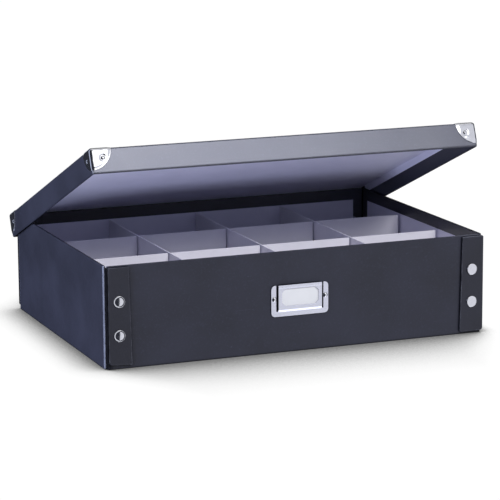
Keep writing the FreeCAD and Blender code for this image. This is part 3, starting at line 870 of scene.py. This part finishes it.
def build_floor():
    """A plain pale floor, white to the camera but for its contact shadow."""
    graph = Graph(bpy.data.materials.new("pale_floor"))
    graph.owner.cycles.emission_sampling = "NONE"
    geometry = graph.add("NewGeometry").outputs
    x = graph.add("SeparateXYZ", {0: geometry["Position"]}).outputs["X"]
    half_w = box_mm("bottom_board")[1].x * MM
    in_front, on_left, on_right = CONTACT_REACH
    leftwards = graph.remap(x, -half_w - 0.01, -half_w + 0.06, on_left, in_front)
    rightwards = graph.remap(x, half_w - 0.06, half_w + 0.01, in_front, on_right)
    reach = graph.math("MINIMUM", leftwards, rightwards)
    open_sky = graph.add("AmbientOcclusion", {"Distance": reach}, samples=8).outputs["AO"]
    shade = graph.remap(open_sky, 0.5, 0.93, CONTACT_TONE, 1.02)
    camera = graph.add("CombineColor", {0: shade, 1: shade, 2: shade}).outputs[0]
    towards = graph.add("VectorMath", {0: geometry["Incoming"]}, operation="SCALE")
    towards.inputs["Scale"].default_value = -1.0
    steep = graph.remap(graph.add("SeparateXYZ", {0: geometry["Incoming"]}).outputs["Z"],
                        0.55, 0.95, 1.0, 2.6)
    room = reflected_room(graph, towards.outputs[0], REAR_FLOOR)
    room = graph.add("VectorMath", {0: room}, operation="SCALE")
    graph.tree.links.new(steep, room.inputs["Scale"])
    room = room.outputs[0]
    glow = graph.add("Emission", {"Color": ray_switch(graph, camera, room, grey(0.0))}).outputs[0]
    soft = graph.add("BsdfDiffuse", {"Color": ray_switch(graph, grey(0.0), grey(0.0), grey(0.8))})
    both = graph.add("AddShader", {0: glow, 1: soft.outputs[0]}).outputs[0]
    graph.add("OutputMaterial", {"Surface": both})
    bm = bmesh.new()
    bmesh.ops.create_circle(bm, cap_ends=True, segments=96, radius=60.0)
    mesh = bpy.data.meshes.new("floor")
    bm.to_mesh(mesh)
    bm.free()
    floor = bpy.data.objects.new("floor", mesh)
    mesh.materials.append(graph.owner)
    bpy.context.scene.collection.objects.link(floor)


def build_world():
    """A plain room, white to the camera, dark overhead."""
    world = bpy.data.worlds.new("studio")
    bpy.context.scene.world = world
    graph = Graph(world)
    towards = graph.add("TexCoord").outputs["Generated"]
    up = graph.add("SeparateXYZ", {0: towards}).outputs["Z"]
    dim = graph.remap(up, 0.45, 0.85, 1.0, 0.6)
    room = graph.add("VectorMath", {0: reflected_room(graph, towards)}, operation="SCALE")
    graph.tree.links.new(dim, room.inputs["Scale"])
    level = graph.remap(up, 0.15, 0.75, FILL_LOW, FILL_HIGH)
    fill = graph.add("VectorMath", {0: COOL}, operation="SCALE")
    graph.tree.links.new(level, fill.inputs["Scale"])
    colour = ray_switch(graph, grey(1.05), room.outputs[0], fill.outputs[0])
    shader = graph.add("Background", {"Color": colour}).outputs[0]
    graph.add("OutputWorld", {"Surface": shader})


def softbox(name, azimuth, elevation, distance, size, radiance, colour=(1.0, 1.0, 1.0)):
    """A rectangular light that faces the box."""
    light = bpy.data.lights.new(name, "AREA")
    light.shape = "RECTANGLE"
    light.size, light.size_y = size
    light.energy = radiance * math.pi * size[0] * size[1]
    light.color = colour
    holder = bpy.data.objects.new(name, light)
    towards = direction(azimuth, elevation)
    holder.location = LOOK_AT + towards * distance
    holder.rotation_euler = (-towards).to_track_quat("-Z", "Y").to_euler()
    bpy.context.scene.collection.objects.link(holder)
    return holder


def only_on(light, pieces):
    """Lets a light fall on some pieces alone."""
    lit = bpy.data.collections.new(light.name + "_receivers")
    for piece in pieces:
        lit.objects.link(piece)
    light.light_linking.receiver_collection = lit


def build_lights():
    """Soft panels round the box. Some light one material or side alone, or show in gloss alone."""
    meshes = [o for o in bpy.data.objects if o.type == "MESH"]
    covered = [o for o in meshes if {COVERING, FOLDED, FLAP_PAPER} & set(o.data.materials[:])]
    flaps = [o for o in covered if "flap_board" in o.name]
    facing_left = [o for o in covered if o not in flaps and not o.name.startswith("right_wall")]
    nickel = [o for o in meshes if NICKEL in o.data.materials[:]]
    under_lid = [frame["nodes"][n] for n in ("lid_lining", "lid_skirt_linings")]

    softbox("key_softbox", 12.0, 42.0, 2.2, (1.2, 0.8), 13.3).visible_glossy = False
    softbox("panel_softbox", 7.0, 34.0, 2.2, (1.2, 0.9), 1.3).visible_diffuse = False

    sheen = softbox("sheen_softbox", 11.5, 34.0, 2.2, (1.26, 0.9), 16.6, (0.95, 0.98, 1.15))
    sheen.visible_diffuse = False
    only_on(sheen, [bpy.data.objects["lid_shell"]])

    left = softbox("left_softbox", -80.0, 15.0, 2.2, (1.8, 1.2), 13.2, (0.77, 0.85, 1.12))
    only_on(left, facing_left)
    right = softbox("right_softbox", 106.0, 15.0, 2.2, (0.8, 1.0), 14.0, (0.9, 0.95, 1.1))
    only_on(right, flaps)

    for name, azimuth, elevation, radiance in (("ceiling_softbox", 0.0, 80.0, 0.5),
                                               ("rear_metal_softbox", 148.0, 34.0, 0.6)):
        light = softbox(name, azimuth, elevation, 2.2, (2.6, 1.6), radiance)
        light.visible_diffuse = False
        only_on(light, nickel)

    only_on(softbox("rear_softbox", 148.0, 50.0, 2.2, (2.2, 1.2), 6.0, PALE), covered)
    far = softbox("far_softbox", -45.0, 24.0, 2.2, (1.6, 1.0), 4.0, PALE)
    far.visible_diffuse = False
    only_on(far, covered)

    # What the pale floor far in front throws up under the lid.
    bounce = softbox("floor_bounce", 0.0, 0.0, 1.0, (0.45, 0.07), 30.0, (0.91, 1.0, 1.33))
    bounce.location = (-0.45, -0.70, 0.036)
    bounce.visible_glossy = False
    only_on(bounce, under_lid)


def build_camera():
    """The long lens, a little above the box and to its left."""
    azimuth, elevation, roll, distance = -21.77, 11.61, math.radians(-0.36), 2.652
    back = direction(azimuth, elevation)
    right = Vector((math.cos(math.radians(azimuth)), math.sin(math.radians(azimuth)), 0.0))
    up = back.cross(right)
    right, up = (math.cos(roll) * right + math.sin(roll) * up,
                 math.cos(roll) * up - math.sin(roll) * right)
    data = bpy.data.cameras.new("camera")
    data.lens, data.sensor_width = 174.96, 36.0
    data.clip_start, data.clip_end = 0.05, 200.0
    camera = bpy.data.objects.new("camera", data)
    turn = Matrix((right, up, back)).transposed().to_4x4()
    camera.matrix_world = Matrix.Translation(LOOK_AT + back * distance) @ turn
    bpy.context.scene.collection.objects.link(camera)
    bpy.context.scene.camera = camera


build_floor()
build_world()
build_lights()
build_camera()
bpy.context.scene.view_settings.view_transform = "Standard"
